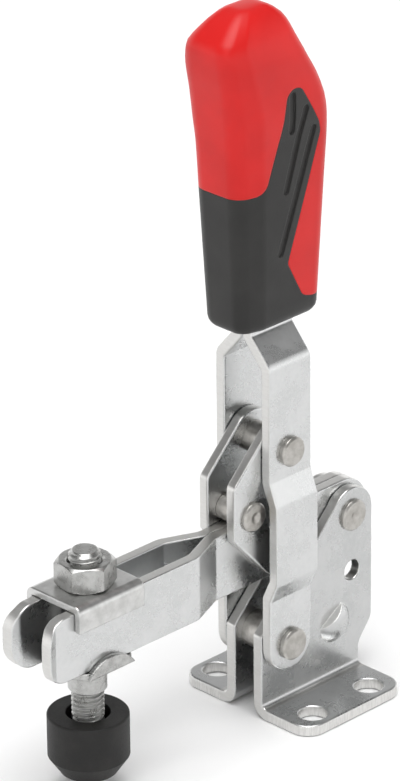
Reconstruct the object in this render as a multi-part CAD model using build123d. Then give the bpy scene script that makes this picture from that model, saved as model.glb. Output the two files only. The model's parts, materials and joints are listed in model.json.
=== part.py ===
from build123d import *
from math import atan2, cos, degrees, hypot, radians, sin, sqrt, tan
import os

# Vertical toggle clamp with an open (two-plate) clamping arm and an angle base.
# Millimetres. +X points along the arm to the spindle, +Z up, +Y to the left side.
# Origin: centre of the four mounting holes, on the underside of the feet.

# ---- sheet metal and running fits ----
sheet = 3.0              # thickness of every pressed plate
layer_gap = 0.1          # air between plates that slide on each other
pin_play = 0.05          # radial play of a pin in its hole
seat_gap = 0.05          # air between a clamped piece and the arm

# ---- pivots, in the XZ plane ----
lever_pivot = (10.0, 19.8)
lever_link_pivot = (10.2, 72.3)      # lever to link
link_arm_pivot = (9.6, 45.0)         # link to arm, just behind the line of the two above
arm_pivot = (-15.0, 45.0)

# ---- rivets ----
pin_radius = 3.0
head_height = 1.6
frame_head_height = 1.15         # heads that the bowed lever plates pass over
large_head_lip = 1.1             # how far a head stands out past its pin
small_head_lip = 0.8
head_bevel = 0.5
dimple_radius = 1.5
dimple_depth = 0.6
lever_bush_wall = 1.75
link_bush_wall = 0.95
bearing_bush_wall = 1.15             # bushes that the arm turns on
stop_pin_shoulder = 0.5              # the stop pin's middle is thicker than its ends
stop_pin_x = 20.1

# ---- base: two angle plates ----
hole_spacing_x = 20.0
hole_spacing_y = 33.2
hole_radius = 3.6
foot_front = 17.3
foot_rear = -17.5
foot_half_width = 22.2
foot_corner_radius = 5.2
base_bend_radius = 1.4
base_rear = -22.2
base_neck_top = 14.4
base_neck_bottom = 8.4
base_neck_radius = 4.0
base_round_radius = 7.0
base_slant = 39.9                    # x + z along the 45 degree edge
base_corner_radius = 1.2
keyhole_centre = (-15.0, 29.6)
keyhole_radius = 2.65

# ---- pressed lever stop in each base plate ----
stop_front = (-3.5, 17.2)            # ends of the sheared edge
stop_rear = (-11.0, 22.0)
stop_round_radius = 5.2
stop_height = 2.6

# ---- hand lever ----
lever_width = 14.4
lever_step = 2.4                     # how far the plates bow out round the rivet heads
lever_step_heights = (33.6, 39.0, 59.2, 65.3)
lever_neck_below_grip = 10.1         # where the plates start to bend in
lever_neck_length = 7.1
lever_in_grip = 54.6
lever_bend_radius = 1.2

# ---- link ----
link_top_radius = 7.0
link_low_radius = 7.5
link_front = 26.3
link_front_low = 52.0
link_front_high = 66.2
link_corner_radius = 2.0

# ---- clamping arm ----
arm_height = 17.0
arm_drop = 0.1                       # arm's middle line below its pivot
slot_play = 0.2                      # the spindle slides between the plates
arm_step_start = 30.0
arm_step_end = 40.0
arm_tip = 90.0
arm_tip_radius = 6.5
arm_flare_length = 2.6
arm_flare = 1.1
arm_bend_radius = 2.0

# ---- spindle group ----
spindle_x = 70.4
spindle_radius = 4.0
spindle_length = 50.0
spindle_end_chamfer = 1.0
head_across_flats = 13.0
screw_head_height = 5.3
hexagon_land = 0.3                   # the chamfer reaches this far in from the flats
thread_play = 0.1
nut_height = 6.5
nut_turn = 22.2
clip_length = 21.4
clip_sheet = 2.0
clip_flange_bottom = 48.6
clip_bend_radius = 0.15
washer_radius = 10.6
washer_thickness = 1.6
wing_top = 38.9
sleeve_wall = 0.65
sleeve_bottom = 27.0
sleeve_chamfer = 0.8

# ---- rubber cap ----
cap_radius = 10.0
cap_bottom = 5.1
cap_height = 15.7
cap_cone_height = 4.6
cap_foot_radius = 6.9
cap_mouth_gap = 1.5
cap_floor = 4.0
cap_edge_radius = 0.5

# ---- hand grip ----
grip_bottom = 105.4
grip_socket_play = 0.05
# outline from the bottom up: height over the grip's bottom, rear and front x from the lever's
# middle line, half width; smooth curves run through these
grip_outline = [(0.0, -12.64, 13.94, 7.92), (16.6, -13.42, 14.82, 8.57), (35.6, -14.51, 15.94, 9.14),
                (48.0, -15.25, 16.68, 9.45), (55.0, -14.18, 17.29, 10.01), (61.6, -11.48, 18.14, 9.92),
                (68.0, -7.58, 19.2, 9.8), (73.0, -4.98, 19.58, 8.72), (77.6, -3.02, 15.27, 6.34),
                (81.0, 0.72, 10.1, 3.5)]
grip_levels = [10.0, 22.0, 34.0, 44.0, 49.0, 53.0, 57.0, 61.0, 65.0, 69.0, 72.5, 75.5, 78.0, 80.0, 81.0]
grip_foot = [(0.0, 1.9), (0.6, 0.8), (2.6, 0.0)]      # height and inset of the rounded lower edge
grip_taper_length = 7.5              # the sides draw in towards the front
grip_taper = 2.0
grip_rear_radius = 5.0
grip_front_radius = 4.5
grip_side_radius = 6.0
inlay_side = [(-40.0, 4.6), (-8.6, 4.9), (-5.3, 5.9), (0.2, 15.9), (-10.1, 47.4), (-9.4, 50.1),
              (-3.0, 60.7), (1.4, 60.9), (3.3, 50.5), (8.3, 36.3), (40.0, 35.7), (40.0, -15.4),
              (-40.0, -15.4)]
inlay_radii = [0, 8, 3, 1.5, 3, 3, 2.5, 3, 30, 4, 0, 0, 0]
groove_lines = [((-0.2, 50.2), (-0.2, 59.8)), ((1.2, 35.1), (-4.6, 54.7)), ((2.6, 19.3), (-7.6, 48.7))]
groove_radius = 0.7
groove_lift = 0.25                   # the groove's centre line lies this far outside the surface
groove_steps = 2
core_wall = 2.3                      # plastic in front of and behind the lever
core_side_wall = 1.6
core_length = 59.6

# ---- worked out ----
frame_inner = sheet + layer_gap                  # base and link plates
frame_outer = frame_inner + sheet
lever_inner = frame_outer + layer_gap            # lever plates
lever_outer = lever_inner + sheet
large_head_radius = pin_radius + large_head_lip
small_head_radius = pin_radius + small_head_lip
lever_bush_radius = pin_radius + pin_play + lever_bush_wall
link_bush_radius = pin_radius + pin_play + link_bush_wall
bearing_bush_radius = pin_radius + pin_play + bearing_bush_wall
stop_pin_radius = pin_radius + stop_pin_shoulder
lever_neck_start = grip_bottom - lever_neck_below_grip
lever_top = grip_bottom + lever_in_grip
arm_middle = arm_pivot[1] - arm_drop
arm_top = arm_middle + arm_height / 2
arm_bottom = arm_middle - arm_height / 2
slot_inner = spindle_radius + slot_play
slot_outer = slot_inner + sheet
stop_pin = (stop_pin_x, arm_top + stop_pin_radius + seat_gap)
clip_bottom = arm_top + seat_gap
clip_top = clip_bottom + clip_sheet
washer_top = arm_bottom - seat_gap
washer_bottom = washer_top - washer_thickness
head_bottom = cap_bottom + cap_floor
head_top = head_bottom + screw_head_height
sleeve_radius = spindle_radius + thread_play + sleeve_wall
cap_mouth_radius = spindle_radius + cap_mouth_gap
far = 300.0


def closed(points, radii=0.0):
    """Face inside a closed polygon with rounded corners."""
    return make_face(FilletPolyline(*points, radius=radii, close=True))


def along_y(face, y0, y1):
    """Extrude a face drawn in XZ from y0 to y1."""
    plane = Plane(origin=(0, y0, 0), x_dir=(1, 0, 0), z_dir=(0, -1, 0))
    return extrude(plane * face, amount=-(y1 - y0))


def y_disc(centre, radius, y0, y1):
    return along_y(Pos(*centre) * Circle(radius), y0, y1)


def along_x(face, x0, x1):
    """Extrude a face drawn in YZ from x0 to x1."""
    return extrude(Plane(origin=(x0, 0, 0), x_dir=(0, 1, 0), z_dir=(1, 0, 0)) * face, amount=x1 - x0)


def strip(points, thickness, bend_radius):
    """Cross-section of a bent strip: the centre line given as points, bends rounded."""
    sides = []
    for sign in (1, -1):
        side, radii = [], []
        for i, (px, py) in enumerate(points):
            before = points[max(i - 1, 0)]
            after = points[min(i + 1, len(points) - 1)]
            turn_in = atan2(py - before[1], px - before[0]) if i else atan2(after[1] - py, after[0] - px)
            turn_out = atan2(after[1] - py, after[0] - px) if i < len(points) - 1 else turn_in
            turn = turn_out - turn_in
            middle = (turn_in + turn_out) / 2
            reach = sign * thickness / 2 / cos(turn / 2)
            side.append((px - reach * sin(middle), py + reach * cos(middle)))
            inside = turn * sign > 0
            radii.append(0 if abs(turn) < 1e-6 else bend_radius if inside else bend_radius + thickness)
        sides.append((side, radii))
    (left, left_radii), (right, right_radii) = sides
    return closed(left + right[::-1], left_radii + right_radii[::-1])


def rivet_head(centre, radius, y0, y1, dimple):
    """Bevelled rivet head that stands on the plate at y0 and ends at y1."""
    outward = 1 if y1 > y0 else -1
    height = abs(y1 - y0)
    middle = [(dimple_radius, height), (0, height - dimple_depth)] if dimple else [(0, height)]
    profile = Polyline((0, 0), (radius, 0), (radius, height - head_bevel), (radius - head_bevel, height),
                       *middle, close=True)
    head = revolve(make_face(profile), axis=Axis.Y)
    if outward < 0:
        head = mirror(head, about=Plane.XZ)
    return Pos(centre[0], y0, centre[1]) * head


def both_sides(piece):
    return [piece, mirror(piece, about=Plane.XZ)]


def write(name, *solids):
    """One STEP file for a node, with each of its solids."""
    found = [s for item in solids for s in item.solids()]
    for solid in found:
        solid.label = name
    export_step(found[0] if len(found) == 1 else Compound(children=found), f"parts/{name}.step")


def stop_dome(lift):
    """Dome of the lever stop, cut straight along its sheared edge."""
    middle = ((stop_front[0] + stop_rear[0]) / 2, (stop_front[1] + stop_rear[1]) / 2)
    edge = (stop_rear[0] - stop_front[0], stop_rear[1] - stop_front[1])
    half_edge = hypot(*edge) / 2
    depth = sqrt(stop_round_radius ** 2 - half_edge ** 2)
    inward = (-edge[1] / (2 * half_edge), edge[0] / (2 * half_edge))
    centre = (middle[0] + depth * inward[0], middle[1] + depth * inward[1])
    ball_radius = (stop_round_radius ** 2 + stop_height ** 2) / (2 * stop_height)
    ball = Pos(centre[0], lift - ball_radius + stop_height, centre[1]) * Sphere(ball_radius)
    slab = Pos(centre[0], lift + far / 2, centre[1]) * Box(far, far, far)
    angle = degrees(atan2(edge[1], edge[0]))
    behind = along_y(Pos(*middle) * Rot(0, 0, angle) * Pos(0, far / 2) * Rectangle(far, far), -far, far)
    return ball & slab & behind


def base_plate():
    """Left angle plate: upright, bent foot with two holes, neck, lever stop."""
    section = strip([(frame_inner + sheet / 2, 80), (frame_inner + sheet / 2, sheet / 2),
                     (foot_half_width, sheet / 2)], sheet, base_bend_radius)
    blank = along_x(section, base_rear - 5, foot_front + 5)
    tangent = base_round_radius / sqrt(2)
    points = [(foot_front, -1), (foot_front, base_slant - foot_front),
              (arm_pivot[0] + tangent, arm_pivot[1] + tangent), arm_pivot,
              (base_rear, arm_pivot[1]), (base_rear, base_neck_top), (foot_rear, base_neck_bottom),
              (foot_rear, -1)]
    radii = [0, base_corner_radius, 0, 0, 0, base_neck_radius, base_neck_radius, 0]
    side = closed(points, radii) + Pos(*arm_pivot) * Circle(arm_pivot[0] - base_rear)
    bend_end = frame_outer + base_bend_radius
    plan_points = [(foot_front, -1), (foot_front, foot_half_width), (foot_rear, foot_half_width),
                   (foot_rear, bend_end), (base_rear - 5, bend_end), (base_rear - 5, -1)]
    plan = closed(plan_points, [0, foot_corner_radius, foot_corner_radius, 0, 0, 0])
    plate = blank & along_y(side, 0, far) & extrude(plan, amount=far)
    for sx in (-1, 1):
        hole = Pos(sx * hole_spacing_x / 2, hole_spacing_y / 2) * Circle(hole_radius)
        plate -= extrude(hole, amount=2 * sheet)
    plate += stop_dome(frame_outer)
    plate -= stop_dome(frame_inner)
    plate -= y_disc(keyhole_centre, keyhole_radius, 0, far)
    for pivot in (lever_pivot, arm_pivot):
        plate -= y_disc(pivot, pin_radius + pin_play, 0, far)
    return plate


def lever_plate():
    """Left lever plate: bowed round the rivet heads, then bent in to meet its twin."""
    low, mid = lever_inner + sheet / 2, lever_inner + sheet / 2 + lever_step
    a, b, c, d = lever_step_heights
    bottom = lever_pivot[1] - lever_width
    section = strip([(low, bottom), (low, a), (mid, b), (mid, c), (low, d), (low, lever_neck_start),
                     (sheet / 2, lever_neck_start + lever_neck_length), (sheet / 2, lever_top)],
                    sheet, lever_bend_radius)
    blank = along_x(section, lever_pivot[0] - lever_width, lever_pivot[0] + lever_width)
    half = lever_width / 2
    side = closed([(lever_pivot[0] - half, lever_pivot[1]), (lever_pivot[0] + half, lever_pivot[1]),
                   (lever_pivot[0] + half, lever_top), (lever_pivot[0] - half, lever_top)])
    side += Pos(*lever_pivot) * Circle(half)
    plate = blank & along_y(side, 0, far)
    plate -= y_disc(lever_pivot, pin_radius + pin_play, 0, far)
    plate -= y_disc(lever_link_pivot, pin_radius + pin_play, 0, far)
    return plate


def link_plate():
    """Left link plate: two rounded ends and a nose that carries the stop pin."""
    tx, tz = lever_link_pivot
    lx, lz = link_arm_pivot
    slope = 1 / sqrt(2)
    points = [(tx - link_top_radius, tz), (lx - link_low_radius, lz), (lx, lz),
              (lx + link_low_radius * slope, lz - link_low_radius * slope),
              (link_front, link_front_low), (link_front, link_front_high),
              (tx + link_top_radius * slope, tz + link_top_radius * slope), (tx, tz)]
    side = closed(points, [0, 0, 0, 0, link_corner_radius, link_corner_radius, 0, 0])
    side += Pos(tx, tz) * Circle(link_top_radius)
    side += Pos(lx, lz) * Circle(link_low_radius)
    plate = along_y(side, frame_inner, frame_outer)
    for pivot in (lever_link_pivot, link_arm_pivot, stop_pin):
        plate -= y_disc(pivot, pin_radius + pin_play, 0, far)
    return plate


def arm_plate():
    """Left arm plate: lies on its twin at the rear, steps out to a slot, flares at the tip."""
    middle_rear, middle_front = sheet / 2, slot_inner + sheet / 2
    section = strip([(arm_pivot[0] - 20, middle_rear), (arm_step_start, middle_rear),
                     (arm_step_end, middle_front), (arm_tip - arm_flare_length, middle_front),
                     (arm_tip + arm_flare_length, middle_front + 2 * arm_flare)], sheet, arm_bend_radius)
    blank = Pos(0, 0, arm_bottom) * extrude(section, amount=arm_height)
    rear = arm_pivot[0]
    side = closed([(rear, arm_bottom), (arm_tip, arm_bottom), (arm_tip, arm_top), (rear, arm_top)],
                  [0, arm_tip_radius, arm_tip_radius, 0])
    side += Pos(rear, arm_middle) * Circle(arm_height / 2)
    plate = blank & along_y(side, 0, far)
    for pivot in (arm_pivot, link_arm_pivot):
        plate -= y_disc(pivot, bearing_bush_radius + pin_play, 0, far)
    return plate


def lever_rivet():
    """Rivet of the hand lever through both lever plates and both base plates."""
    end = lever_outer + seat_gap
    rivet = y_disc(lever_pivot, pin_radius, -end, end)
    for side in (1, -1):
        rivet += rivet_head(lever_pivot, large_head_radius, side * end, side * (end + head_height), False)
    return rivet


def bush(centre, radius):
    """Bush round a rivet, as long as the space between the frame plates."""
    bore = y_disc(centre, pin_radius + pin_play, -far, far)
    return y_disc(centre, radius, -frame_inner, frame_inner) - bore


def short_rivet(centre, head_radius, dimple):
    """Rivet through the frame layer, with a head on each side."""
    end = frame_outer
    rivet = y_disc(centre, pin_radius, -end, end)
    for side in (1, -1):
        rivet += rivet_head(centre, head_radius, side * end, side * (end + frame_head_height), dimple)
    return rivet


def stop_pin_rivet():
    """Shouldered rivet through the link's nose: its thick middle rests on the arm."""
    middle = y_disc(stop_pin, stop_pin_radius, -frame_inner, frame_inner)
    return short_rivet(stop_pin, small_head_radius, True) + middle


def lever_link_rivet_end():
    """Left end of the rivet that joins lever and link: shank in the lever plate and head."""
    end = lever_outer
    shank = y_disc(lever_link_pivot, pin_radius, lever_inner, end)
    return shank + rivet_head(lever_link_pivot, small_head_radius, end, end + head_height, False)


def hexagon(across_flats, height, chamfer_top, chamfer_bottom):
    """Hexagonal block on z = 0 with its corners turned off at 30 degrees."""
    block = extrude(RegularPolygon(across_flats / sqrt(3), 6), amount=height)
    corner = across_flats / sqrt(3)
    rim = across_flats / 2 - hexagon_land
    drop = (corner - rim) * tan(radians(30))
    bottom = [(rim, 0), (corner, drop)] if chamfer_bottom else [(corner, 0)]
    top = [(corner, height - drop), (rim, height)] if chamfer_top else [(corner, height)]
    profile = Polyline((0, 0), *bottom, *top, (0, height), close=True)
    return block & revolve(Plane.XZ * make_face(profile), axis=Axis.Z)


def hex_nut():
    nut = hexagon(head_across_flats, nut_height, True, True)
    nut -= Cylinder(spindle_radius + thread_play, 4 * nut_height)
    return Pos(spindle_x, 0, clip_top) * Rot(0, 0, nut_turn) * nut


def spindle_screw():
    """M8 hexagon screw that points up through the sleeve, the arm and the nut."""
    screw = Pos(0, 0, head_bottom) * hexagon(head_across_flats, screw_head_height, False, True)
    shank = Cylinder(spindle_radius, spindle_length, align=(Align.CENTER, Align.CENTER, Align.MIN))
    shank = chamfer(shank.edges().sort_by(Axis.Z)[-1], spindle_end_chamfer)
    return Pos(spindle_x, 0, 0) * (screw + Pos(0, 0, head_top) * shank)


def saddle_clip():
    """Bent washer that sits on both arm plates, with a flange down each side."""
    inner = slot_outer + seat_gap
    middle = inner + clip_sheet / 2
    level = clip_bottom + clip_sheet / 2
    section = strip([(-middle, clip_flange_bottom), (-middle, level), (middle, level),
                     (middle, clip_flange_bottom)], clip_sheet, clip_bend_radius)
    clip = along_x(section, spindle_x - clip_length / 2, spindle_x + clip_length / 2)
    return clip - Pos(spindle_x, 0, clip_bottom) * Cylinder(spindle_radius + thread_play, 4 * clip_sheet)


def flanged_sleeve():
    """Lower washer with a sleeve below and two wings folded up beside the arm."""
    inner = slot_outer + seat_gap
    outer = inner + washer_thickness
    disc = Pos(0, 0, washer_bottom) * extrude(Circle(washer_radius), amount=washer_thickness)
    trim = Pos(0, 0, washer_bottom) * extrude(Rectangle(far, 2 * outer), amount=washer_thickness)
    plate = disc & trim
    half_chord = sqrt(washer_radius ** 2 - inner ** 2)
    rise = wing_top - washer_bottom
    round_radius = (half_chord ** 2 + rise ** 2) / (2 * rise)
    wing = Pos(0, wing_top - round_radius) * Circle(round_radius)
    wing &= Pos(0, washer_bottom + far / 2) * Rectangle(far, far)
    plate += along_y(wing, inner, outer)
    plate += along_y(wing, -outer, -inner)
    sleeve = Pos(0, 0, sleeve_bottom) * extrude(Circle(sleeve_radius), amount=washer_bottom - sleeve_bottom)
    sleeve = chamfer(sleeve.edges().sort_by(Axis.Z)[0], sleeve_chamfer)
    bore = Pos(0, 0, sleeve_bottom) * Cylinder(spindle_radius + thread_play, far)
    return Pos(spindle_x, 0, 0) * (plate + sleeve - bore)


def rubber_cap():
    """Turned pressure cap, pushed over the head of the screw."""
    cavity = head_across_flats / sqrt(3) + pin_play
    top = cap_bottom + cap_height
    roof = head_top + pin_play
    cone_top = cap_bottom + cap_cone_height
    profile = closed([(0, cap_bottom), (cap_foot_radius, cap_bottom), (cap_radius, cone_top),
                      (cap_radius, top), (cap_mouth_radius, top), (cap_mouth_radius, roof),
                      (cavity, roof), (cavity, head_bottom), (0, head_bottom)],
                     [0, cap_edge_radius, 0, cap_edge_radius, 0, 0, 0, 0, 0])
    return Pos(spindle_x, 0, 0) * revolve(Plane.XZ * profile, axis=Axis.Z)


def smooth(table, column, height):
    """Value of one column at a height: monotone cubic curve through the table's rows."""
    heights = [row[0] for row in table]
    values = [row[column] for row in table]
    slopes = [(b - a) / (v - u) for a, b, u, v in zip(values, values[1:], heights, heights[1:])]
    bends = [slopes[0]]
    for before, after in zip(slopes, slopes[1:]):
        bends.append(2 * before * after / (before + after) if before * after > 0 else 0.0)
    bends.append(slopes[-1])
    i = max(k for k in range(len(slopes)) if heights[k] <= height)
    span = heights[i + 1] - heights[i]
    t = (height - heights[i]) / span
    return (values[i] * (1 + 2 * t) * (1 - t) ** 2 + bends[i] * span * t * (1 - t) ** 2
            + values[i + 1] * t * t * (3 - 2 * t) + bends[i + 1] * span * t * t * (t - 1))


def grip_section(height, inset):
    """Cross-section at a height over the grip's bottom: flat back, sides that draw in to the front."""
    rear, front, half = (smooth(grip_outline, column, height) for column in (1, 2, 3))
    rear, front, half = rear + inset, front - inset, half - inset
    taper_start = front - min(grip_taper_length, 0.45 * (front - rear))
    half_front = half - min(grip_taper, 0.3 * half)
    points = [(rear, half), (rear, -half), (taper_start, -half), (front, -half_front), (front, half_front),
              (taper_start, half)]
    back = min(grip_rear_radius, 0.62 * half)
    nose = min(grip_front_radius, 0.5 * half)
    side = min(grip_side_radius, 0.9 * half)
    return Pos(0, 0, height) * closed(points, [back, back, side, nose, nose, side])


def grip_groove(low, high):
    """Round-bottomed groove in the left inlay, between two points of its side view."""
    points = []
    for i in range(groove_steps + 1):
        share = i / groove_steps
        x, z = low[0] + (high[0] - low[0]) * share, low[1] + (high[1] - low[1]) * share
        points.append(Vector(x, smooth(grip_outline, 3, z) + groove_lift, z))
    tool = Pos(points[0]) * Sphere(groove_radius)
    for start, end in zip(points, points[1:]):
        rod = Cylinder(groove_radius, (end - start).length, align=(Align.CENTER, Align.CENTER, Align.MIN))
        tool += Plane(origin=start, z_dir=end - start) * rod
        tool += Pos(end) * Sphere(groove_radius)
    return tool


def grip():
    """Moulded grip: a black core with side inlays and a red shell over it."""
    sections = [grip_section(height, inset) for height, inset in grip_foot]
    sections += [grip_section(height, 0.0) for height in grip_levels]
    whole = loft(sections, ruled=True)
    socket = Box(lever_width + 2 * grip_socket_play, 2 * (sheet + grip_socket_play),
                 2 * (lever_in_grip + grip_socket_play))
    inlay = along_y(closed(inlay_side, inlay_radii), -far, far)
    inner = Box(lever_width + 2 * core_wall, 2 * (sheet + core_side_wall), 2 * core_length)
    core = (whole & (inlay + inner)) - socket
    shell = whole - inlay - inner - socket
    for low, high in groove_lines:
        for groove in both_sides(grip_groove(low, high)):
            core -= groove
    place = Pos(lever_pivot[0], 0, grip_bottom)
    return place * core, place * shell


def main():
    os.makedirs("parts", exist_ok=True)
    for name, piece in (("base_plate", base_plate()), ("lever_plate", lever_plate()),
                        ("link_plate", link_plate()), ("arm_plate", arm_plate())):
        left, right = both_sides(piece)
        write(f"{name}_left", left)
        write(f"{name}_right", right)
    write("lever_rivet", lever_rivet())
    write("lever_bush", bush(lever_pivot, lever_bush_radius))
    write("arm_rivet", short_rivet(arm_pivot, large_head_radius, True))
    write("arm_bush", bush(arm_pivot, bearing_bush_radius))
    write("link_arm_rivet", short_rivet(link_arm_pivot, small_head_radius, True))
    write("link_arm_bush", bush(link_arm_pivot, bearing_bush_radius))
    write("stop_pin", stop_pin_rivet())
    write("link_bush", bush(lever_link_pivot, link_bush_radius))
    write("link_rivet", y_disc(lever_link_pivot, pin_radius, -frame_outer, frame_outer))
    write("lever_link_rivet", *both_sides(lever_link_rivet_end()))
    write("saddle_clip", saddle_clip())
    write("hex_nut", hex_nut())
    write("flanged_sleeve", flanged_sleeve())
    write("spindle_screw", spindle_screw())
    write("rubber_cap", rubber_cap())
    core, shell = grip()
    write("grip_core", core)
    write("grip_shell", shell)


main()
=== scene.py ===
import json
from math import cos, pi, radians, sin, tan

import bpy
from mathutils import Matrix, Vector


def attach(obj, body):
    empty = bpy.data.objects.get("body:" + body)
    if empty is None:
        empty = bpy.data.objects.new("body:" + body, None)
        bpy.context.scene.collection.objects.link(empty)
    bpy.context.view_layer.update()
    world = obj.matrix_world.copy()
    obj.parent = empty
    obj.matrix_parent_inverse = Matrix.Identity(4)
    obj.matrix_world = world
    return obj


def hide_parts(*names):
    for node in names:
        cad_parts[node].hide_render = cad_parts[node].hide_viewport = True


# Vertical toggle clamp with an open arm, in metres, in the CAD frame.
# +X runs along the arm to the spindle, +Z up, +Y to the left side.

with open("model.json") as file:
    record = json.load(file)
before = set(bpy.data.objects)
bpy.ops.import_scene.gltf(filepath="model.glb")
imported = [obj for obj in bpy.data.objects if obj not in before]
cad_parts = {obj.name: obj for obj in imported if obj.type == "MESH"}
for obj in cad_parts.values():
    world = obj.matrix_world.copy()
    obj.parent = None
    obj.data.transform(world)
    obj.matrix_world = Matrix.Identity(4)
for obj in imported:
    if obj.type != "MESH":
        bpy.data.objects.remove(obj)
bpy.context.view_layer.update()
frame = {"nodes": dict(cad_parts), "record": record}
MM = 0.001
WELD = 2e-6                 # vertices nearer than this are one, in metres

# Sizes below are in mm, unless they say otherwise.
VIEW_TURN, VIEW_RISE, VIEW_ROLL = 45.225, 25.037, -0.579      # degrees
VIEW_MIDDLE = (31.553, 0, 92.528)
VIEW_DISTANCE = 1244.458
SENSOR_HEIGHT = 36.0
FOCAL_SHARE = 5219.262 / 781                                 # focal length over sensor height

SPINDLE_X = 70.4
FLATS = 13.0                # across the flats of the nut and the screw's head
HEX_LAND = 0.25             # flat left outside the chamfer's inner circle, on each side
HEX_SLOPE = 0.58            # rise of the chamfer over its width, 30 degrees
THREAD_PITCH, THREAD_CREST, THREAD_ROOT = 1.25, 4.0, 3.33
SCREW_HEAD = (9.1, 14.4)    # bottom and top
SCREW_TOP = 64.4
NUT = (55.45, 61.95)        # bottom and top
NUT_TURN = 22.2             # degrees

GRIP_PLACE = (10.0, 105.4)  # X of the grip's axis, Z of its foot
GRIP = [(0.0, -12.64, 13.94, 7.92), (16.6, -13.42, 14.82, 8.57), (35.6, -14.51, 15.94, 9.14),
        (48.0, -15.25, 16.68, 9.45), (55.0, -14.18, 17.29, 10.01), (61.6, -11.48, 18.14, 9.92),
        (68.0, -7.58, 19.2, 9.8), (73.0, -4.98, 19.58, 8.72), (77.6, -3.02, 15.27, 6.34),
        (81.01, 0.72, 10.1, 3.5)]       # height, rear, front, half width
INLAY = ([(-40, 4.6), (-8.6, 4.9), (-5.3, 5.9), (0.2, 15.9), (-10.1, 47.4), (-9.4, 50.1), (-3, 60.7),
          (1.4, 60.9), (3.3, 50.5), (8.3, 36.3), (40, 35.7), (40, -15.4), (-40, -15.4)],
         [0, 8, 3, 1.5, 3, 3, 2.5, 3, 30, 4, 0, 0, 0])
SLOTS = [((-0.2, 50.2), (-0.2, 59.0)), ((1.2, 35.1), (-4.6, 54.7)), ((2.6, 19.3), (-7.6, 48.7))]
SLOT_HALF = 1.0             # half the width of a grip slot
SLOT_FLOOR = 0.95           # half width of the slots' floor over that of the grip

SHARP = 50                  # degrees; edges sharper than this are rounded on the pressed parts
DOME_X, DOME_Z = (-16.0, -2.0), (10.5, 23.5)                 # box round the stop domes
PRESSED = [("base", 0.5, 0.6), ("lever", 0.6, 0.6), ("link", 0.6, 0.6),
           ("arm", 0.4, 3.6)]                                # part, edge radius, flatness in degrees
CLIP_EDGE, SLEEVE_EDGE = 0.45, 0.35
FLAT = 0.6                  # degrees; faces that differ less become one


# ---- camera, floor and light ----

def make_camera():
    """Long lens, an eighth of a turn round to the left front and 25 degrees up."""
    turn, rise, roll = radians(VIEW_TURN), radians(VIEW_RISE), radians(VIEW_ROLL)
    back = Vector((cos(turn) * cos(rise), sin(turn) * cos(rise), sin(rise)))
    right = (-back).cross(Vector((0, 0, 1))).normalized()
    up = right.cross(-back)
    across = right * cos(roll) + up * sin(roll)
    upward = up * cos(roll) - right * sin(roll)
    data = bpy.data.cameras.new("camera")
    data.sensor_fit = "VERTICAL"
    data.sensor_height = SENSOR_HEIGHT
    data.lens = FOCAL_SHARE * SENSOR_HEIGHT
    data.clip_start, data.clip_end = 0.05, 20.0
    camera = bpy.data.objects.new("camera", data)
    bpy.context.scene.collection.objects.link(camera)
    place = Matrix((across, upward, back)).transposed().to_4x4()
    place.translation = Vector(VIEW_MIDDLE) * MM + back * VIEW_DISTANCE * MM
    camera.matrix_world = place
    bpy.context.scene.camera = camera


def soft_box(name, place, aim, width, height, watts):
    data = bpy.data.lights.new(name, "AREA")
    data.shape, data.size, data.size_y = "RECTANGLE", width, height
    data.energy = watts
    lamp = bpy.data.objects.new(name, data)
    bpy.context.scene.collection.objects.link(lamp)
    lamp.location = place
    lamp.rotation_euler = (Vector(aim) - Vector(place)).to_track_quat("-Z", "Y").to_euler()


# ---- shader maths ----

class Socket:
    """An output socket that can be used in Python expressions."""

    def __init__(self, sheet, socket):
        self.sheet, self.socket = sheet, socket

    def math(self, kind, *others):
        node = self.sheet.tree.nodes.new("ShaderNodeMath")
        node.operation = kind
        for slot, value in zip(node.inputs, (self,) + others):
            self.sheet.put(value, slot)
        return Socket(self.sheet, node.outputs[0])

    def __add__(self, other): return self.math("ADD", other)
    def __radd__(self, other): return self.math("ADD", other)
    def __sub__(self, other): return self.math("SUBTRACT", other)
    def __rsub__(self, other): return self.math("MULTIPLY_ADD", -1.0, other)
    def __mul__(self, other): return self.math("MULTIPLY", other)
    def __rmul__(self, other): return self.math("MULTIPLY", other)
    def __gt__(self, other): return self.math("GREATER_THAN", other)
    def __lt__(self, other): return self.math("LESS_THAN", other)
    def __abs__(self): return self.math("ABSOLUTE")

    def ramp(self, low, high):
        """Smooth step from 0 at one value to 1 at another."""
        return self.sheet.node("ShaderNodeMapRange", {"interpolation_type": "SMOOTHSTEP"},
                               {"Value": self, "From Min": low, "From Max": high})["Result"]


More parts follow.
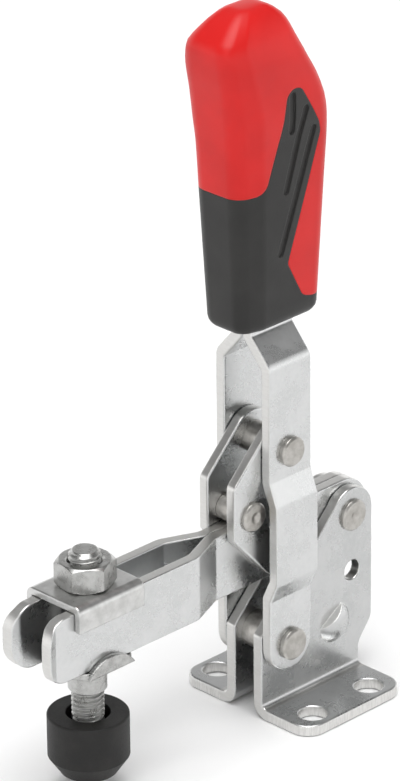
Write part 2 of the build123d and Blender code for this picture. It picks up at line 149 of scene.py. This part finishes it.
class Finish:
    """A material with one Principled shader, built from sockets."""

    def __init__(self, name, colour, metallic=0.0, roughness=0.5, **settings):
        self.material = bpy.data.materials.new(name)
        self.material.use_nodes = True
        self.tree = self.material.node_tree
        self.shader = next(n for n in self.tree.nodes if n.type == "BSDF_PRINCIPLED")
        self.shader.inputs["Base Color"].default_value = (*colour, 1)
        self.shader.inputs["Metallic"].default_value = metallic
        self.shader.inputs["Roughness"].default_value = roughness
        for key, value in settings.items():
            self.shader.inputs[key.replace("_", " ")].default_value = value
        self.material.diffuse_color = (*colour, 1)
        self.material.metallic, self.material.roughness = metallic, roughness
        self.place = self.node("ShaderNodeTexCoord")["Object"]

    def put(self, value, slot):
        if isinstance(value, Socket):
            self.tree.links.new(value.socket, slot)
        else:
            slot.default_value = value

    def node(self, kind, settings=None, values=None):
        """Any node: its type, settings and input values; gives its outputs by name."""
        node = self.tree.nodes.new(kind)
        for key, value in (settings or {}).items():
            setattr(node, key, value)
        for key, value in (values or {}).items():
            self.put(value, node.inputs[key])
        return {out.name: Socket(self, out) for out in node.outputs if out.enabled}

    def split(self, vector):
        """The three numbers of a vector by name."""
        return self.node("ShaderNodeSeparateXYZ", {}, {"Vector": vector})

    def noise(self, scale, detail=2.0, roughness=0.5, stretch=None):
        place = self.place
        if stretch:
            place = self.node("ShaderNodeMapping", {}, {"Vector": place, "Scale": stretch})["Vector"]
        return self.node("ShaderNodeTexNoise", {},
                         {"Vector": place, "Scale": scale, "Detail": detail, "Roughness": roughness})["Fac"]

    def mix(self, share, first, second):
        """Colour mix."""
        node = self.tree.nodes.new("ShaderNodeMix")
        node.data_type = "RGBA"
        inputs = [s for s in node.inputs if s.enabled]
        self.put(share, inputs[0])
        self.put(first if isinstance(first, Socket) else (*first, 1), inputs[1])
        self.put(second if isinstance(second, Socket) else (*second, 1), inputs[2])
        return Socket(self, next(s for s in node.outputs if s.enabled))

    def bump(self, *layers, edge=0.0):
        """Height layers, each with its strength and depth in metres, over edges rounded by edge."""
        normal = self.node("ShaderNodeBevel", {"samples": 6}, {"Radius": edge})["Normal"] if edge else None
        for height, strength, distance in layers:
            values = {"Height": height, "Strength": strength, "Distance": distance}
            if normal:
                values["Normal"] = normal
            normal = self.node("ShaderNodeBump", {}, values)["Normal"]
        self.put(normal, self.shader.inputs["Normal"])

    def edge_wear_and_highlight(self, radius):
        """1 along sharp outside and inside edges, 0 on the flats; a mask for edge wear and painted highlight.
        """
        rounded = self.node("ShaderNodeBevel", {"samples": 8}, {"Radius": radius})["Normal"]
        flat = self.node("ShaderNodeNewGeometry")["True Normal"]
        likeness = self.node("ShaderNodeVectorMath", {"operation": "DOT_PRODUCT"}, {0: rounded, 1: flat})
        return 1 - likeness["Value"].ramp(0.75, 0.97)

    def colour(self, value):
        self.put(value, self.shader.inputs["Base Color"])

    def rough(self, value):
        self.put(value, self.shader.inputs["Roughness"])


def zinc_sheet(name, tone):
    """Bright zinc on pressed sheet: mottled flats, streaked edges where it was sheared, and sharp edges
    lightened as wear and painted highlight; tone scales the colour, below 1 as painted shade.
    """
    finish = Finish(name, (0.62 * tone, 0.62 * tone, 0.61 * tone), 1.0, 0.34)
    at = finish.split(finish.place)
    facing = finish.split(finish.node("ShaderNodeTexCoord")["Normal"])
    foot = (at["Z"] < 0.0045) * (abs(at["Y"]) > 0.0085)
    across = (1 - foot) * abs(facing["Y"]) + foot * abs(facing["Z"])
    sheared = 1 - across.ramp(0.45, 0.75)
    cloud = finish.noise(110, 3).ramp(0.3, 0.7)
    mottle = finish.noise(900, 3, 0.6)
    grain = finish.noise(4200, 2)
    upright = finish.noise(2600, 3, 0.6, stretch=(1, 0.14, 1))
    flat_lying = finish.noise(2600, 3, 0.6, stretch=(1, 1, 0.14))
    streak = (1 - foot) * upright + foot * flat_lying
    dull, plain, pale = (tuple(tone * c for c in shade) for shade in
                         ((0.565, 0.573, 0.572), (0.63, 0.635, 0.635), (0.69, 0.695, 0.69)))
    sheet = finish.mix(cloud, dull, plain)
    sheet = finish.mix(mottle.ramp(0.35, 0.65) * 0.3, sheet, pale)
    cut = finish.mix(streak.ramp(0.35, 0.65) * (foot * 0.6 + 0.3), (0.62, 0.615, 0.60), (0.74, 0.735, 0.72))
    wear_and_highlight = finish.edge_wear_and_highlight(0.0005)
    # Sharp edges are lightened towards pale zinc and made glossier: partly edge wear, partly a painted
    # highlight.
    finish.colour(finish.mix(wear_and_highlight * 0.8, finish.mix(sheared, sheet, cut), (0.84, 0.835, 0.82)))
    finish.rough(cloud * 0.07 + 0.25 + (mottle - 0.5) * 0.12 + sheared * 0.05 - wear_and_highlight * 0.06)
    finish.bump((mottle, 0.08, 0.00003), (grain, 0.2, 0.00002), (streak * sheared * foot, 0.4, 0.00006),
                edge=0.0002)
    return finish.material


def rivet_metal():
    """Warmer, duller steel of the rivets, rollers and pins, with faint turning marks."""
    finish = Finish("rivet_metal", (0.42, 0.40, 0.37), 1.0, 0.34)
    cloud = finish.noise(500, 3, 0.6)
    grain = finish.noise(3500, 2)
    finish.colour(finish.mix(cloud.ramp(0.3, 0.7), (0.38, 0.365, 0.34), (0.50, 0.485, 0.46)))
    finish.rough(0.27 + cloud * 0.14)
    finish.bump((cloud, 0.25, 0.00004), (grain, 0.25, 0.00002), edge=0.0003)
    return finish.material


def screw_zinc():
    """Zinc on the bent clip."""
    finish = Finish("screw_zinc", (0.58, 0.58, 0.57), 1.0, 0.3)
    cloud = finish.noise(300, 3, 0.6)
    grain = finish.noise(3800, 2)
    finish.colour(finish.mix(cloud.ramp(0.3, 0.7), (0.50, 0.50, 0.49), (0.64, 0.64, 0.63)))
    finish.rough(0.24 + cloud * 0.12)
    finish.bump((cloud, 0.12, 0.00004), (grain, 0.15, 0.00002), edge=0.0003)
    return finish.material


def nut_zinc():
    """Duller, greyer zinc of the screw, the nut and the flanged sleeve."""
    finish = Finish("nut_zinc", (0.44, 0.44, 0.43), 1.0, 0.3)
    cloud = finish.noise(420, 3, 0.6)
    grain = finish.noise(3800, 2)
    finish.colour(finish.mix(cloud.ramp(0.3, 0.7), (0.36, 0.36, 0.35), (0.50, 0.50, 0.49)))
    finish.rough(0.22 + cloud * 0.12)
    finish.bump((cloud, 0.12, 0.00004), (grain, 0.15, 0.00002), edge=0.0003)
    return finish.material


def black_rubber():
    """Matt black rubber with a dusty bloom and faint mould marks."""
    finish = Finish("black_rubber", (0.010, 0.0095, 0.009), 0.0, 0.55, Specular_IOR_Level=0.38)
    cloud = finish.noise(160, 4, 0.6)
    fine = finish.noise(2200, 4)
    finish.colour(finish.mix(cloud.ramp(0.35, 0.75), (0.006, 0.0057, 0.0053), (0.014, 0.013, 0.012)))
    finish.rough(0.46 + fine * 0.2)
    finish.bump((cloud, 0.15, 0.0001), (fine, 0.35, 0.00005), edge=0.0004)
    return finish.material


def black_plastic():
    """Moulded black soft plastic with a fine spark-eroded grain."""
    finish = Finish("black_plastic", (0.011, 0.0105, 0.0095), 0.0, 0.45, Specular_IOR_Level=0.42)
    cloud = finish.noise(90, 3)
    fine = finish.noise(2600, 3, 0.6)
    finish.colour(finish.mix(cloud.ramp(0.3, 0.7), (0.008, 0.0074, 0.0066), (0.014, 0.0132, 0.012)))
    finish.rough(0.36 + fine * 0.16)
    finish.bump((fine, 0.55, 0.00006), edge=0.0005)
    return finish.material


def red_plastic():
    """Moulded red plastic, satin, with a very fine grain."""
    finish = Finish("red_plastic", (0.55, 0.006, 0.006), 0.0, 0.4, Specular_IOR_Level=0.35)
    cloud = finish.noise(70, 3)
    fine = finish.noise(2200, 3, 0.6)
    finish.colour(finish.mix(cloud.ramp(0.3, 0.7), (0.53, 0.004, 0.003), (0.60, 0.007, 0.006)))
    finish.rough(0.34 + fine * 0.12)
    finish.bump((fine, 0.3, 0.00004), edge=0.0006)
    return finish.material


def paint_cad():
    """Put the finished materials on the CAD nodes; gives them by slot."""
    finishes = {"zinc_plate": zinc_sheet("zinc_sheet", 1.0), "rivet_steel": rivet_metal(),
                "bolt_zinc": screw_zinc(), "cap_rubber": black_rubber(),
                "grip_black": black_plastic(), "grip_red": red_plastic()}
    for part in frame["record"]["subparts"]:
        node = frame["nodes"][part["node"]]
        for slot in node.material_slots:
            slot.material = finishes[part["material_slot"]]
    return finishes


def make_stage():
    bpy.ops.object.select_all(action="DESELECT")
    bpy.ops.mesh.primitive_plane_add(size=8, location=(0, 0, 0))
    floor = bpy.context.object
    floor.name = "floor"
    finish = Finish("pale_floor", (0.86, 0.86, 0.86), 0.0, 0.9)
    floor.data.materials.append(finish.material)
    make_world()
    ceiling = bpy.data.lights.new("ceiling", "SUN")
    ceiling.energy, ceiling.angle = 2.7, radians(50)
    lamp = bpy.data.objects.new("ceiling", ceiling)
    bpy.context.scene.collection.objects.link(lamp)
    lamp.rotation_euler = (radians(-6), radians(5), 0)
    soft_box("front_left", (1.5, 1.0, 1.5), (0.02, 0, 0.08), 0.8, 1.2, 3)


def make_world():
    """Studio surround: bright low down, darker above the shoulder of the softboxes."""
    world = bpy.data.worlds.new("studio")
    bpy.context.scene.world = world
    world.use_nodes = True
    tree = world.node_tree
    way = tree.nodes.new("ShaderNodeTexCoord")
    split = tree.nodes.new("ShaderNodeSeparateXYZ")
    ramp = tree.nodes.new("ShaderNodeValToRGB")
    tree.links.new(way.outputs["Generated"], split.inputs[0])
    tree.links.new(split.outputs["Z"], ramp.inputs[0])
    tree.links.new(ramp.outputs["Color"], tree.nodes["Background"].inputs["Color"])
    stops = ramp.color_ramp.elements
    for place, level in ((0.0, 1.0), (0.2, 0.85), (0.42, 0.5), (0.58, 0.1), (1.0, 0.15)):
        stop = stops[0] if place == 0.0 else stops[-1] if place == 1.0 else stops.new(place)
        stop.position, stop.color = place, (level, level, level, 1)
    tree.nodes["Background"].inputs["Strength"].default_value = 1.6
    bpy.context.scene.view_settings.view_transform = "Standard"


# ---- modelled pieces ----

def deselect():
    if bpy.context.object and bpy.context.object.mode != "OBJECT":
        bpy.ops.object.mode_set(mode="OBJECT")
    bpy.ops.object.select_all(action="DESELECT")


def activate(piece):
    deselect()
    piece.select_set(True)
    bpy.context.view_layer.objects.active = piece


def edit(piece, *steps):
    """Run edit-mode steps with the whole mesh selected."""
    activate(piece)
    bpy.ops.object.mode_set(mode="EDIT")
    bpy.ops.mesh.select_all(action="SELECT")
    for step in steps:
        step()
    bpy.ops.object.mode_set(mode="OBJECT")


def tidy_shell(piece):
    edit(piece, lambda: bpy.ops.mesh.remove_doubles(threshold=WELD),
         lambda: bpy.ops.mesh.normals_make_consistent(inside=False))


def smooth(piece, degrees):
    activate(piece)
    bpy.ops.object.shade_smooth_by_angle(angle=radians(degrees))


def modify(piece, kind, **settings):
    activate(piece)
    extra = piece.modifiers.new(kind.lower(), kind)
    for key, value in settings.items():
        setattr(extra, key, value)
    bpy.ops.object.modifier_apply(modifier=extra.name)


def cut(piece, tool, how):
    """Boolean with another piece, which is used up."""
    modify(piece, "BOOLEAN", object=tool, operation=how, solver="EXACT")
    bpy.data.objects.remove(tool)


def draw(name, points):
    """Profile of (radius, height) points in mm, drawn from one vertex on the X-Z plane."""
    deselect()
    bpy.ops.mesh.primitive_plane_add(size=MM)
    piece = bpy.context.object
    piece.name = name
    bpy.ops.object.mode_set(mode="EDIT")
    bpy.ops.mesh.select_all(action="SELECT")
    bpy.ops.mesh.merge(type="CENTER")
    bpy.ops.transform.translate(value=(points[0][0] * MM, 0, points[0][1] * MM))
    for before, after in zip(points, points[1:]):
        step = ((after[0] - before[0]) * MM, 0, (after[1] - before[1]) * MM)
        bpy.ops.mesh.extrude_vertices_move(TRANSFORM_OT_translate={"value": step})
    bpy.ops.object.mode_set(mode="OBJECT")
    return piece


def turned(name, points, steps=96):
    """Closed turned shape about the Z axis."""
    piece = draw(name, points)
    edit(piece, lambda: bpy.ops.mesh.spin(steps=steps, angle=2 * pi, center=(0, 0, 0), axis=(0, 0, 1)))
    tidy_shell(piece)
    return piece


def stand_at(piece, x, z=0.0, turn=0.0):
    """Turn about Z and move to the place on the arm, into the mesh."""
    activate(piece)
    piece.rotation_euler = (0, 0, radians(turn))
    piece.location = (x * MM, 0, z * MM)
    bpy.ops.object.transform_apply(location=True, rotation=True, scale=True)


def stand_for(piece, node, body, material):
    piece.data.materials.clear()
    piece.data.materials.append(material)
    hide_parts(node)
    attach(piece, body)


def hexagon(name, z0, z1, land_top, land_bottom):
    """Hexagon between two heights; the ends that have a land are chamfered all round."""
    deselect()
    bpy.ops.mesh.primitive_cylinder_add(vertices=6, radius=FLATS / 3 ** 0.5 * MM, depth=(z1 - z0 + 2) * MM,
                                        location=(0, 0, (z0 + z1) / 2 * MM), rotation=(0, 0, radians(30)))
    piece = bpy.context.object
    piece.name = name
    bpy.ops.object.transform_apply(location=True, rotation=True, scale=True)
    rim, wide = FLATS / 2 - HEX_LAND, FLATS / 3 ** 0.5 + 0.3
    rise = (wide - rim) * HEX_SLOPE
    bottom = [(rim, z0), (wide, z0 + rise)] if land_bottom else [(wide, z0)]
    top = [(wide, z1 - rise), (rim, z1)] if land_top else [(wide, z1)]
    cut(piece, turned("blank", [(0, z0)] + bottom + top + [(0, z1)]), "INTERSECT")
    return piece


def threaded_screw(material):
    """M8 screw: rolled thread from the head up to a chamfered end."""
    pitch, crest, root = THREAD_PITCH, THREAD_CREST, THREAD_ROOT
    foot = SCREW_HEAD[1] - 3.0
    turns = int((SCREW_TOP - foot) / pitch) + 4
    screw = draw("threaded_screw", [(crest, 0), (crest, 0.16 * pitch), (root, 0.5 * pitch),
                                    (root, 0.62 * pitch), (crest, pitch)])
    modify(screw, "SCREW", angle=2 * pi, screw_offset=pitch * MM, iterations=turns, steps=48,
           render_steps=48, axis="Z")
    edit(screw, lambda: bpy.ops.mesh.remove_doubles(threshold=WELD),
         lambda: bpy.ops.mesh.fill_holes(sides=0),
         lambda: bpy.ops.mesh.normals_make_consistent(inside=False))
    stand_at(screw, 0, foot - 1.5 * pitch)
    cut(screw, turned("blank", [(0, foot), (4.05, foot), (4.05, SCREW_TOP - 1.05), (3.05, SCREW_TOP - 0.06),
                                (2.99, SCREW_TOP), (0, SCREW_TOP)]), "INTERSECT")
    cut(screw, hexagon("screw_head", *SCREW_HEAD, False, True), "UNION")
    stand_at(screw, SPINDLE_X)
    smooth(screw, 35)
    stand_for(screw, "spindle_screw", "spindle", material)


def chamfered_nut(material):
    """M8 nut with countersunk thread ends."""
    z0, z1 = NUT
    nut = hexagon("chamfered_nut", z0, z1, True, True)
    bore = turned("bore", [(0, z0 - 1), (5.3, z0 - 1), (4.06, z0 + 0.35), (4.06, z1 - 0.55), (5.28, z1 + 0.5),
                           (5.28, z1 + 1), (0, z1 + 1)])
    cut(nut, bore, "DIFFERENCE")
    stand_at(nut, SPINDLE_X, turn=NUT_TURN)
    smooth(nut, 20)
    stand_for(nut, "hex_nut", "carriage", material)


def grip_size(height, column):
    """A size of the grip at a height over its foot: smooth curve through the rows of GRIP."""
    heights = [row[0] for row in GRIP]
    values = [row[column] for row in GRIP]
    slopes = [(b - a) / (v - u) for a, b, u, v in zip(values, values[1:], heights, heights[1:])]
    bends = [slopes[0]] + [2 * a * b / (a + b) if a * b > 0 else 0.0 for a, b in zip(slopes, slopes[1:])]
    bends.append(slopes[-1])
    i = max(k for k in range(len(slopes)) if heights[k] <= height)
    span = heights[i + 1] - heights[i]
    t = (height - heights[i]) / span
    return (values[i] * (1 + 2 * t) * (1 - t) ** 2 + bends[i] * span * t * (1 - t) ** 2
            + values[i + 1] * t * t * (3 - 2 * t) + bends[i + 1] * span * t * t * (t - 1))


def select(piece, kind, test):
    """Select the vertices or faces that pass a test, and nothing else."""
    activate(piece)
    bpy.ops.object.mode_set(mode="EDIT")
    bpy.ops.mesh.select_mode(type=kind)
    bpy.ops.mesh.select_all(action="DESELECT")
    bpy.ops.object.mode_set(mode="OBJECT")
    for item in piece.data.vertices if kind == "VERT" else piece.data.polygons:
        item.select = test(item)


def rounded_face(name, points, radii, segments=8):
    """Flat face in the X-Z plane, its corners rounded one by one; points and radii in mm."""
    piece = draw(name, points)
    edit(piece, lambda: bpy.ops.mesh.edge_face_add())
    count = len(points)
    for i, radius in enumerate(radii):
        if not radius:
            continue
        here, back, on = (Vector(points[k % count]) for k in (i, i - 1, i + 1))
        half_angle = (back - here).angle(on - here) / 2
        place = Vector((here.x * MM, 0, here.y * MM))
        nearest = min(piece.data.vertices, key=lambda v: (v.co - place).length).index
        select(piece, "VERT", lambda v: v.index == nearest)
        bpy.ops.object.mode_set(mode="EDIT")
        bpy.ops.mesh.bevel(offset=radius / tan(half_angle) * MM, segments=segments, affect="VERTICES")
        bpy.ops.object.mode_set(mode="OBJECT")
    return piece


def prism(name, points, radii, reach=30.0, segments=8):
    """Rounded outline of a side view, drawn out along Y to both sides."""
    piece = rounded_face(name, points, radii, segments)
    edit(piece, lambda: bpy.ops.transform.translate(value=(0, -reach * MM, 0)),
         lambda: bpy.ops.mesh.extrude_region_move(TRANSFORM_OT_translate={"value": (0, 2 * reach * MM, 0)}))
    edit(piece, lambda: bpy.ops.mesh.normals_make_consistent(inside=False))
    return piece


def grip_blank():
    """Whole outside of the grip, drawn up from its foot section level by level."""
    rear, front, half = -15.0, 16.0, 9.0
    start, nose = front - 7.5, half - 2.0
    piece = rounded_face("grip_blank", [(rear, half), (rear, -half), (start, -half), (front, -nose),
                                        (front, nose), (start, half)], [4.8, 4.8, 6, 4.4, 4.4, 6], 10)
    piece.rotation_euler = (radians(-90), 0, 0)
    activate(piece)
    bpy.ops.object.transform_apply(location=True, rotation=True, scale=True)
    levels = [(0, 1.9), (0.12, 1.35), (0.4, 0.95), (0.9, 0.5), (1.6, 0.15), (2.6, 0.0)]
    levels += [(h, 0.0) for h in [5 + 2.7 * k for k in range(20)]]
    levels += [(58 + 1.45 * k, 0.0) for k in range(1, 16)] + [(80.5, 0.3), (80.85, 0.8), (81.0, 1.6)]
    was = (0.0, rear, front, half)
    bpy.ops.object.mode_set(mode="EDIT")
    bpy.ops.mesh.select_all(action="SELECT")
    for number, (height, inset) in enumerate(levels):
        now = (height, grip_size(height, 1) + inset, grip_size(height, 2) - inset,
               grip_size(height, 3) - inset)
        if number:
            bpy.ops.mesh.extrude_region_move(
                TRANSFORM_OT_translate={"value": (0, 0, (now[0] - was[0]) * MM)})
        along = (now[2] - now[1]) / (was[2] - was[1])
        bpy.ops.transform.resize(value=(along, now[3] / was[3], 1), center_override=(0, 0, 0))
        bpy.ops.transform.translate(value=((now[1] - was[1] * along) * MM, 0, 0))
        was = now
    bpy.ops.object.mode_set(mode="OBJECT")
    edit(piece, lambda: bpy.ops.mesh.normals_make_consistent(inside=False))
    return piece


def copy_of(piece, name, size=(1, 1, 1)):
    other = bpy.data.objects.new(name, piece.data.copy())
    bpy.context.scene.collection.objects.link(other)
    edit(other, lambda: bpy.ops.transform.resize(value=size, center_override=(0, 0, 0)))
    return other


def moulded_grip(black, red):
    """Black body with side inlays, and the red shell that its inlays are let into."""
    body = grip_blank()
    body.name = "grip_body"
    shell = copy_of(body, "grip_top")
    floor = copy_of(body, "slot_floor", (1, SLOT_FLOOR, 1))
    cut(shell, prism("inlay", *INLAY), "DIFFERENCE")
    cut(body, prism("inlay", *INLAY), "INTERSECT")
    for low, high in SLOTS:
        along = (Vector(high) - Vector(low)).normalized() * SLOT_HALF
        aside = Vector((along.y, -along.x))
        corners = [Vector(low) - along - aside, Vector(low) - along + aside,
                   Vector(high) + along + aside, Vector(high) + along - aside]
        slot = prism("slot", [tuple(c) for c in corners], [SLOT_HALF - 0.01] * 4, segments=5)
        cut(slot, copy_of(floor, "floor_copy"), "DIFFERENCE")
        cut(body, slot, "DIFFERENCE")
    bpy.data.objects.remove(floor)
    for piece, node, slot, material in ((body, "grip_core", "grip_black", black),
                                        (shell, "grip_shell", "grip_red", red)):
        stand_at(piece, *GRIP_PLACE)
        smooth(piece, 32)
        stand_for(piece, node, "lever", material)


def in_dome(point):
    """Inside the box of the stop dome pressed out of each upright."""
    return DOME_X[0] < point.x / MM < DOME_X[1] and DOME_Z[0] < point.z / MM < DOME_Z[1]


def pressed_plate(node, name, body, material, rounding, flat=FLAT):
    """Sheet part with its sheared edges rounded over, from the merged shape of its node."""
    plate = bpy.data.objects.new(name, frame["nodes"][node].data.copy())
    bpy.context.scene.collection.objects.link(plate)
    edit(plate, lambda: bpy.ops.mesh.remove_doubles(threshold=WELD),
         lambda: bpy.ops.mesh.dissolve_limited(angle_limit=radians(flat)),
         lambda: bpy.ops.mesh.select_mode(type="EDGE"),
         lambda: bpy.ops.mesh.select_all(action="DESELECT"),
         lambda: bpy.ops.mesh.edges_select_sharp(sharpness=radians(SHARP)))
    mesh = plate.data
    domed = body == "base"
    rims = [edge.select and not (domed and any(in_dome(mesh.vertices[i].co) for i in edge.vertices))
            for edge in mesh.edges]
    ends = {i for edge, chosen in zip(mesh.edges, rims) if chosen for i in edge.vertices}
    mesh.polygons.foreach_set("select", [False] * len(mesh.polygons))
    mesh.vertices.foreach_set("select", [i in ends for i in range(len(mesh.vertices))])
    mesh.edges.foreach_set("select", rims)
    activate(plate)
    bpy.ops.object.mode_set(mode="EDIT")
    bpy.ops.mesh.bevel(offset=rounding * MM, segments=3, affect="EDGES", clamp_overlap=False)
    bpy.ops.object.mode_set(mode="OBJECT")
    smooth(plate, 30)
    modify(plate, "WEIGHTED_NORMAL", mode="FACE_AREA", weight=90, keep_sharp=True)
    stand_for(plate, node, body, material)


# ---- the clamp ----

make_camera()
make_stage()
finishes = paint_cad()
bar_zinc = nut_zinc()
threaded_screw(bar_zinc)
chamfered_nut(bar_zinc)
moulded_grip(finishes["grip_black"], finishes["grip_red"])
# The base plates get a darker copy of the sheet zinc (tone 0.88): painted shade on the uprights.
shaded_base_zinc = zinc_sheet("zinc_base_shaded", 0.88)
for side in ("left", "right"):
    for part, rounding, flat in PRESSED:
        pressed_plate(part + "_plate_" + side, "pressed_" + part + "_" + side, part,
                      shaded_base_zinc if part == "base" else finishes["zinc_plate"], rounding, flat)
pressed_plate("saddle_clip", "pressed_clip", "carriage", finishes["bolt_zinc"], CLIP_EDGE)
pressed_plate("flanged_sleeve", "turned_sleeve", "carriage", bar_zinc, SLEEVE_EDGE)
